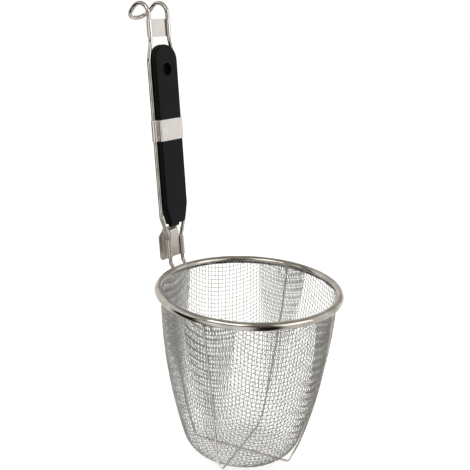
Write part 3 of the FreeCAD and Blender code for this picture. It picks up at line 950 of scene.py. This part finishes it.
@dataclass
class SheetParts:
    """Sheets of the handle: the plate under the hook, the pot plate with its tongue, the band."""

    frame: HandleFrame
    sheet: float = 0.6
    wire: float = 3.1
    clearance: float = 0.05
    curl_start: float = -152.0
    curl_end: float = 158.0
    neck_bend: float = 0.7
    flat_depth: float = 0.3
    edge: float = 0.12
    top_half: float = 10.2
    top_low: float = 177.4
    top_high: float = 190.2
    foot_half: float = 7.2
    plate_low: float = 9.8
    plate_high: float = 24.0
    neck_half: float = 4.8
    fold_height: float = 28.65
    fold_radius: float = 4.05
    tongue_half: float = 8.4
    tongue_shoulder: float = 26.5
    tongue_low: float = 6.3
    tongue_corner: float = 3.0
    tongue_curl: float = 0.6
    band_low: float = 101.3
    band_high: float = 117.1
    band_half: float = 12.05
    band_front: float = 5.35
    band_bend: float = 0.9
    rows_high: int = 9
    wire_half: float = 13.8

    def middle_radius(self) -> float:
        """Radius of the sheet's middle where it curls round a wire."""
        return self.wire / 2 + self.clearance + self.sheet / 2

    def finish_sheet(self, name: str, grid: np.ndarray, closed: bool,
                     material: Material) -> Object:
        """Turns a grid of middle points to a sheet with its thickness and softened edges.

        Args:
            name: Piece name.
            grid: Points in the handle's frame, rows along and columns across.
            closed: Whether the rows join end to end.
            material: Finish of the sheet.

        Returns:
            The piece.
        """
        faces = grid_faces(*grid.shape[:2], closed, False)
        piece = make_object(name, self.frame.place(grid.reshape(-1, 3)), faces, material)
        thick = piece.modifiers.new("thickness", "SOLIDIFY")
        thick.thickness = self.sheet * MM
        thick.offset = 0.0
        soft = piece.modifiers.new("edge", "BEVEL")
        soft.width = self.edge * MM
        soft.segments = 2
        soft.limit_method = "ANGLE"
        soft.angle_limit = math.radians(40)
        soft.harden_normals = True
        LOG.info("%s: sheet %.1f mm thick", name, self.sheet)
        return piece

    def curled(self, name: str, half: float, low: float, high: float,
               material: Material) -> Object:
        """Flat sheet between two legs with its edges curled round them.

        Args:
            name: Piece name.
            half: Distance of each leg from the middle.
            low: Lower edge.
            high: Upper edge.
            material: Finish of the sheet.

        Returns:
            The piece.
        """
        radius = self.middle_radius()
        turns = np.radians(np.linspace(self.curl_start, self.curl_end, 44))
        right = np.column_stack([half + radius * np.cos(turns), radius * np.sin(turns)])
        edge = half - radius - self.neck_bend
        flat = np.column_stack([np.linspace(edge, -edge, 12), np.full(12, self.flat_depth)])
        left = right[::-1] * [-1, 1]
        section = np.vstack([right, flat, left])
        heights = np.linspace(low, high, self.rows_high)
        grid = np.array([[(x, w, s) for s in heights] for x, w in section])
        return self.finish_sheet(name, grid, False, material)

    def tongue(self, material: Material) -> Object:
        """Neck that rises from the plate, folds over backwards and widens to the tongue.

        Args:
            material: Finish of the sheet.

        Returns:
            The piece.
        """
        front = self.flat_depth - 0.04
        bend = self.fold_radius + self.sheet / 2
        centre = front + bend
        path = [(front, s, self.neck_half) for s in np.linspace(self.plate_low, self.fold_height, 12)]
        for turn in np.radians(np.linspace(180, 0, 17))[1:]:
            path.append((centre + bend * math.cos(turn), self.fold_height + bend * math.sin(turn),
                         self.neck_half))
        back = centre + bend
        for share in np.linspace(0, 1, 6)[1:]:
            path.append((back, self.fold_height + (self.tongue_shoulder - self.fold_height) * share,
                         self.neck_half + (self.tongue_half - self.neck_half) * share))
        corner_top = self.tongue_low + self.tongue_corner
        for s in np.linspace(self.tongue_shoulder, corner_top, 8)[1:]:
            path.append((back, s, self.tongue_half))
        for turn in np.radians(np.linspace(0, 88, 10))[1:]:
            path.append((back, corner_top - self.tongue_corner * math.sin(turn),
                         self.tongue_half - self.tongue_corner * (1 - math.cos(turn))))
        across = np.linspace(-1, 1, 25)
        curled = self.tongue_curl * across ** 6
        grid = np.array([[(half * a, w + (c if w == back else 0.0), s) for a, c in zip(across, curled)]
                         for w, s, half in path])
        return self.finish_sheet("pot_tongue", grid, False, material)

    def band(self, material: Material) -> Object:
        """Clamp band over the grip, round both legs and across the back.

        Args:
            material: Finish of the sheet.

        Returns:
            The piece.
        """
        radius = self.middle_radius()
        side = self.band_half + self.sheet / 2
        front = -(self.band_front + self.sheet / 2)
        bend = self.band_bend
        half = []
        half += [(x, front) for x in np.linspace(0, side - bend, 8)]
        half += [(side - bend + bend * math.sin(a), front + bend - bend * math.cos(a))
                 for a in np.radians(np.linspace(0, 90, 8))[1:]]
        meet = -math.sqrt(radius ** 2 - (self.wire_half - side) ** 2)
        half += [(side, w) for w in np.linspace(front + bend, meet, 6)[1:]]
        start = math.degrees(math.atan2(meet, side - self.wire_half))
        half += [(self.wire_half + radius * math.cos(a), radius * math.sin(a))
                 for a in np.radians(np.linspace(start, 90, 26))[1:]]
        half += [(x, radius) for x in np.linspace(self.wire_half, 0, 8)[1:]]
        section = np.array(half + [(-x, w) for x, w in reversed(half[1:-1])])
        heights = np.linspace(self.band_low, self.band_high, self.rows_high)
        grid = np.array([[(x, w, s) for s in heights] for x, w in section])
        return self.finish_sheet("clamp_strip", grid, True, material)


@dataclass
class Grip:
    """Moulded grip: round top, tapered foot, rounded front edge, blind recess, small spigot."""

    frame: HandleFrame
    half: float = 12.0
    front: float = 5.3
    back: float = 1.5
    low: float = 36.2
    low_half: float = 7.8
    taper: float = 50.0
    arch: float = 159.8
    side_round: float = 9.0
    foot_round: float = 1.5
    edge: float = 0.6
    back_edge: float = 0.5
    seam: float = 3.8
    seam_half: float = 0.35
    seam_depth: float = 0.9
    step: float = 0.4
    recess_radius: float = 4.6
    recess_height: float = 153.7
    recess_depth: float = 4.5
    spigot_half: float = 4.9
    spigot_front: float = 1.5
    spigot_low: float = 33.6
    spigot_edge: float = 0.4
    turn_step: float = 6.0

    def outline(self) -> np.ndarray:
        """Outline of the grip seen from the front, counter-clockwise from the right."""
        corners = [Vector((self.half, self.arch, 0)), Vector((self.half, self.taper, 0)),
                   Vector((self.low_half, self.low, 0)), Vector((-self.low_half, self.low, 0)),
                   Vector((-self.half, self.taper, 0)), Vector((-self.half, self.arch, 0))]
        radii = [self.side_round, self.foot_round, self.foot_round, self.side_round]
        foot = rounded_line(corners, radii, self.turn_step)[:, :2]
        turns = np.radians(np.linspace(180, 0, 41))[1:-1]
        arch = np.column_stack([self.half * np.cos(turns), self.arch + self.half * np.sin(turns)])
        corners = np.vstack([foot, arch])
        fine = []
        for first, last in zip(corners, np.roll(corners, -1, axis=0)):
            one, two = (math.atan2(*(spot - [0.0, self.recess_height])) for spot in (first, last))
            wide = abs(math.remainder(two - one, 2 * math.pi))
            count = max(1, math.ceil(math.degrees(wide) / self.turn_step))
            fine += [first + (last - first) * (k / count) for k in range(count)]
        return np.array(fine)

    def build(self, material: Material) -> list[Object]:
        """Builds the grip and its spigot.

        Args:
            material: Finish of the moulding.

        Returns:
            The pieces.
        """
        outline = self.outline()
        count = len(outline)
        along = unit(np.roll(outline, -1, axis=0) - np.roll(outline, 1, axis=0))
        inward = np.column_stack([along[:, 1], -along[:, 0]])
        if np.sum((outline - outline.mean(axis=0)) * inward) > 0:
            inward = -inward
        loops = []
        for turn in np.radians(np.linspace(0, 90, 4)):
            inset = self.back_edge * (1 - math.sin(turn))
            loops.append((inset, self.back - self.back_edge * (1 - math.cos(turn)), None))
        for inset, past in ((0.0, -1.0), (self.seam_depth, -0.5), (self.seam_depth, 0.5), (self.step, 1.0)):
            loops.append((inset, -(self.seam + past * self.seam_half), None))
        for turn in np.radians(np.linspace(0, 90, 9)):
            inset = self.step + self.edge * (1 - math.cos(turn))
            loops.append((inset, -(self.front - self.edge + self.edge * math.sin(turn)), None))
        loops.append((self.step + self.edge + 0.4, -self.front, None))
        away = outline - [0.0, self.recess_height]
        spokes = unit(away)
        for radius, depth in ((self.recess_radius + 0.35, -self.front),
                              (self.recess_radius + 0.1, -(self.front - 0.1)),
                              (self.recess_radius, -(self.front - 0.4)),
                              (self.recess_radius - 0.1, -(self.front - self.recess_depth + 0.3)),
                              (self.recess_radius - 0.4, -(self.front - self.recess_depth))):
            loops.append((radius, depth, spokes))
        points = []
        for size, depth, spoke in loops:
            flat = outline + inward * size if spoke is None else [0.0, self.recess_height] + spoke * size
            points += [(x, depth, s) for x, s in flat]
        faces = grid_faces(len(loops), count, False, True).tolist()
        faces.append(list(range((len(loops) - 1) * count, len(loops) * count)))
        faces.append(list(range(count))[::-1])
        body = make_object("grip_moulding", self.frame.place(np.array(points)), faces, material)
        turned = body.modifiers.new("shading", "WEIGHTED_NORMAL")
        turned.keep_sharp = True
        LOG.info("grip_moulding: %.0f mm wide, %.0f mm long",
                 2 * self.half, self.arch + self.half - self.low)
        return [body, self.spigot(material)]

    def spigot(self, material: Material) -> Object:
        """Short spigot under the grip, in front of the folded plate.

        Args:
            material: Finish of the moulding.

        Returns:
            The piece.
        """
        low, high = self.spigot_low, self.low + 1.0
        half, front = self.spigot_half, -self.spigot_front
        flat = ((-half, front), (half, front), (half, self.back), (-half, self.back))
        corners = [(x, w, s) for s in (low, high) for x, w in flat]
        faces = [[3, 2, 1, 0], [4, 5, 6, 7], [0, 1, 5, 4], [1, 2, 6, 5], [2, 3, 7, 6], [3, 0, 4, 7]]
        piece = make_object("grip_spigot", self.frame.place(np.array(corners)), faces, material)
        soft = piece.modifiers.new("edge", "BEVEL")
        soft.width = self.spigot_edge * MM
        soft.segments = 3
        soft.harden_normals = True
        return piece


# Studio

@dataclass
class Studio:
    """Camera, pale floor, surroundings and lamps."""

    camera_mm: tuple[float, float, float] = (-454.19, -317.30, 218.20)
    pitch: float = 17.65
    heading: float = 143.8
    roll: float = 2.46
    focal_px: float = 800.0
    frame_px: float = 470.0
    sensor: float = 36.0
    floor_height: float = -135.9
    floor_half: float = 4000.0
    floor_glow: float = 0.42
    fill: str = "#e6e6e4"
    ceiling: str = "#a8a39b"
    low_screens: tuple = ((-180, "#ffffff"), (-120, "#f4f2ee"), (-98, "#f4f2ee"), (-88, "#2b2826"),
                          (-62, "#2b2826"), (-54, "#d8d4cd"), (-38, "#ffffff"), (2, "#ffffff"),
                          (12, "#4a4743"), (20, "#2b2826"), (34, "#2b2826"), (44, "#e8e4dd"),
                          (140, "#ffffff"), (180, "#ffffff"))
    high_screens: tuple = ((-180, "#d8d4cd"), (-120, "#ffffff"), (-70, "#ffffff"), (-50, "#77726b"),
                           (30, "#77726b"), (60, "#e8e4dd"), (110, "#ffffff"), (150, "#b5b1aa"),
                           (180, "#d8d4cd"))
    lamps: tuple = (("key_box", (-0.9, -0.1, 1.0), 0.9, 5.0), ("fill_box", (0.1, -1.1, 0.7), 0.9, 3.5))

    def add_camera(self) -> None:
        """Camera at the photograph's place, worked out from the object's own outline."""
        data = bpy.data.cameras.new("camera")
        data.sensor_width = self.sensor
        data.lens = self.focal_px / self.frame_px * self.sensor
        data.clip_start = 0.01
        data.clip_end = 20.0
        camera = bpy.data.objects.new("camera", data)
        pitch, heading, roll = (math.radians(a) for a in (self.pitch, self.heading, self.roll))
        across = Vector((math.sin(heading), math.cos(heading), 0.0))
        ahead_flat = Vector((-math.cos(heading), math.sin(heading), 0.0))
        up = ahead_flat * math.sin(pitch) + Vector((0, 0, math.cos(pitch)))
        ahead = ahead_flat * math.cos(pitch) - Vector((0, 0, math.sin(pitch)))
        right = across * math.cos(roll) + up * math.sin(roll)
        top = up * math.cos(roll) - across * math.sin(roll)
        turn = Matrix((right, top, -ahead)).transposed()
        camera.matrix_world = Matrix.Translation(Vector(self.camera_mm) * MM) @ turn.to_4x4()
        bpy.context.scene.collection.objects.link(camera)
        bpy.context.scene.camera = camera

    def screens(self, tree: NodeTree, place: NodeSocket,
                stops: list[tuple]) -> NodeSocket:
        """Pale and dark screens that stand in a ring round the object.

        Args:
            tree: Node tree that takes the nodes.
            place: Direction or place on the floor, seen from the basket's axis.
            stops: Turn to the right of the camera in degrees, from -180 to 180, and colour.

        Returns:
            The screens' colour.
        """
        parts = add_node(tree, "SeparateXYZ", {}, {0: place})
        sweep = add_node(tree, "Math", {"operation": "ARCTAN2"},
                         {0: parts.outputs["Y"], 1: parts.outputs["X"]})
        camera_turn = math.atan2(self.camera_mm[1], self.camera_mm[0])
        away = add_node(tree, "Math", {"operation": "SUBTRACT", 1: camera_turn},
                        {0: sweep.outputs["Value"]})
        turn = add_node(tree, "Math", {"operation": "WRAP", 1: math.pi, 2: -math.pi},
                        {0: away.outputs["Value"]})
        share = add_node(tree, "MapRange", {"From Min": -math.pi, "From Max": math.pi},
                         {"Value": turn.outputs["Value"]})
        ring = [((angle + 180) / 360, linear_colour(colour)) for angle, colour in stops]
        ramp = add_node(tree, "ValToRGB", {"stops": ring}, {"Fac": share.outputs["Result"]})
        return ramp.outputs["Color"]

    def add_floor(self) -> None:
        """Large pale floor that keeps the object's shadow, with the screens mirrored in metal."""
        material, tree = empty_material("pale_floor")
        seen = add_node(tree, "LightPath")
        place = add_node(tree, "TexCoord")
        paint = add_node(tree, "BsdfDiffuse", {"Color": linear_colour("#f2f2f0")})
        glow = add_node(tree, "Emission", {"Strength": self.floor_glow})
        both = add_node(tree, "AddShader", {}, {0: paint.outputs[0], 1: glow.outputs[0]})
        mix = add_node(tree, "MixShader", {},
                       {0: seen.outputs["Is Camera Ray"], 1: paint.outputs[0], 2: both.outputs[0]})
        ring = self.screens(tree, place.outputs["Object"], self.low_screens)
        mirrored = add_node(tree, "Emission", {}, {"Color": ring})
        all_rays = add_node(tree, "MixShader", {},
                            {0: seen.outputs["Is Glossy Ray"], 1: mix.outputs[0], 2: mirrored.outputs[0]})
        add_node(tree, "OutputMaterial", {}, {"Surface": all_rays.outputs[0]})
        corners = [(x * self.floor_half, y * self.floor_half, self.floor_height)
                   for x, y in ((-1, -1), (1, -1), (1, 1), (-1, 1))]
        floor = make_object("floor", np.array(corners), [[0, 1, 2, 3]], material)

    def add_surroundings(self) -> None:
        """White backdrop for the eye, even soft light, and screens that metal mirrors."""
        world = bpy.data.worlds.new("studio")
        bpy.context.scene.world = world
        world.use_nodes = True
        tree = world.node_tree
        tree.nodes.clear()
        place = add_node(tree, "TexCoord")
        heading = place.outputs["Generated"]
        height = add_node(tree, "SeparateXYZ", {}, {0: heading})
        low = self.screens(tree, heading, self.low_screens)
        high = self.screens(tree, heading, self.high_screens)
        lift = add_node(tree, "MapRange", {"From Min": 0.12, "From Max": 0.2},
                        {"Value": height.outputs["Z"]})
        walls = add_node(tree, "Mix", {"data_type": "RGBA"},
                         {0: lift.outputs["Result"], 6: low, 7: high})
        rise = add_node(tree, "MapRange", {"From Min": 0.6, "From Max": 0.8},
                        {"Value": height.outputs["Z"]})
        room = add_node(tree, "Mix", {"data_type": "RGBA", 7: linear_colour(self.ceiling)},
                        {0: rise.outputs["Result"], 6: walls.outputs[2]})
        seen = add_node(tree, "LightPath")
        plain = add_node(tree, "Mix",
                         {"data_type": "RGBA", 6: linear_colour(self.fill), 7: (1.0, 1.0, 1.0, 1.0)},
                         {0: seen.outputs["Is Camera Ray"]})
        mix = add_node(tree, "Mix", {"data_type": "RGBA"},
                       {0: seen.outputs["Is Glossy Ray"], 6: plain.outputs[2], 7: room.outputs[2]})
        light = add_node(tree, "Background", {"Strength": 1.0}, {"Color": mix.outputs[2]})
        add_node(tree, "OutputWorld", {}, {"Surface": light.outputs["Background"]})

    def add_lamp(self, name: str, place: tuple[float, float, float], size: float, power: float) -> None:
        """Soft box that looks at the basket.

        Args:
            name: Lamp name.
            place: Position in metres.
            size: Side of the box in metres.
            power: Watts.
        """
        data = bpy.data.lights.new(name, "AREA")
        data.energy = power
        data.size = size
        lamp = bpy.data.objects.new(name, data)
        lamp.location = place
        lamp.rotation_euler = (-Vector(place)).to_track_quat("-Z", "Y").to_euler()
        bpy.context.scene.collection.objects.link(lamp)

    def build(self) -> None:
        """Sets up the whole studio."""
        scene = bpy.context.scene
        scene.view_settings.view_transform = "Standard"
        self.add_floor()
        self.add_surroundings()
        for lamp in self.lamps:
            self.add_lamp(*lamp)


def main() -> None:
    """Builds the strainer on the frame."""
    logging.basicConfig(level=logging.INFO, format="%(message)s")
    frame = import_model()
    studio = Studio()
    studio.add_camera()

    bright_wire = PolishedWireSteel("stainless_wire_polished").material()
    woven_wire = PolishedWireSteel("stainless_wire_woven", "#d2d1cf", "#b2b1ae", 0.34, 16.0, 0.5).material()
    # Lighter copy of the polished wire for the ribs: painted highlight, making them as bright as the white
    # highlights along them.
    lit_rib_wire = PolishedWireSteel("stainless_wire_ribs", "#e2dfda", "#c4c0b9", 0.08).material()
    rim_steel = PolishedWireSteel("stainless_strip_rolled", "#ccc8c1", "#a5a19a", 0.1, 14.0, 0.6).material()
    plate_steel = BrushedSheetSteel("stainless_sheet_brushed").material()
    # Darker copy of the brushed sheet for the lower plate and tongue: painted shade, standing in for the
    # rim and basket mirrored in them.
    shaded_hook_steel = BrushedSheetSteel("stainless_hook_brushed", "#d6d2cb", "#bfbbb3", 0.3).material()
    band_steel = BrushedSheetSteel("stainless_band_brushed", brushing=Brushing.ALONG).material()
    plastic = MouldedPlastic("polypropylene_moulded").material()

    profile = CupProfile()
    lean = HandleFrame()
    sheets = SheetParts(lean)
    built = [
        (WovenCloth(profile).build(woven_wire), ["mesh_basket"], "woven_wire"),
        ([RolledRim().build(rim_steel)], ["rim_channel"], "polished_rim"),
        (RibWires(profile).build(lit_rib_wire), ["rib_wire_a", "rib_wire_b"], "bent_wire"),
        ([HandleWire(lean).build(bright_wire)], ["handle_wire"], "bent_wire"),
        ([sheets.curled("upper_plate", sheets.top_half, sheets.top_low, sheets.top_high, plate_steel)],
         ["top_plate"], "brushed_sheet"),
        ([sheets.curled("lower_plate", sheets.foot_half, sheets.plate_low, sheets.plate_high, shaded_hook_steel),
          sheets.tongue(shaded_hook_steel)], ["pot_hook_plate"], "brushed_sheet"),
        ([sheets.band(band_steel)], ["clamp_band"], "brushed_sheet"),
        (Grip(lean).build(plastic), ["grip"], "grip_plastic"),
    ]
    for pieces, nodes, slot in built:
        for number, piece in enumerate(pieces):
            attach(piece, "root")
            if len(nodes) == 1:
                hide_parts(nodes[0])
            else:
                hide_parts(nodes[number])
    hoop = frame["nodes"]["rim_hoop_wire"]
    hoop.data.materials.clear()
    hoop.data.materials.append(bright_wire)

    studio.build()


if __name__ == "__main__":
    main()
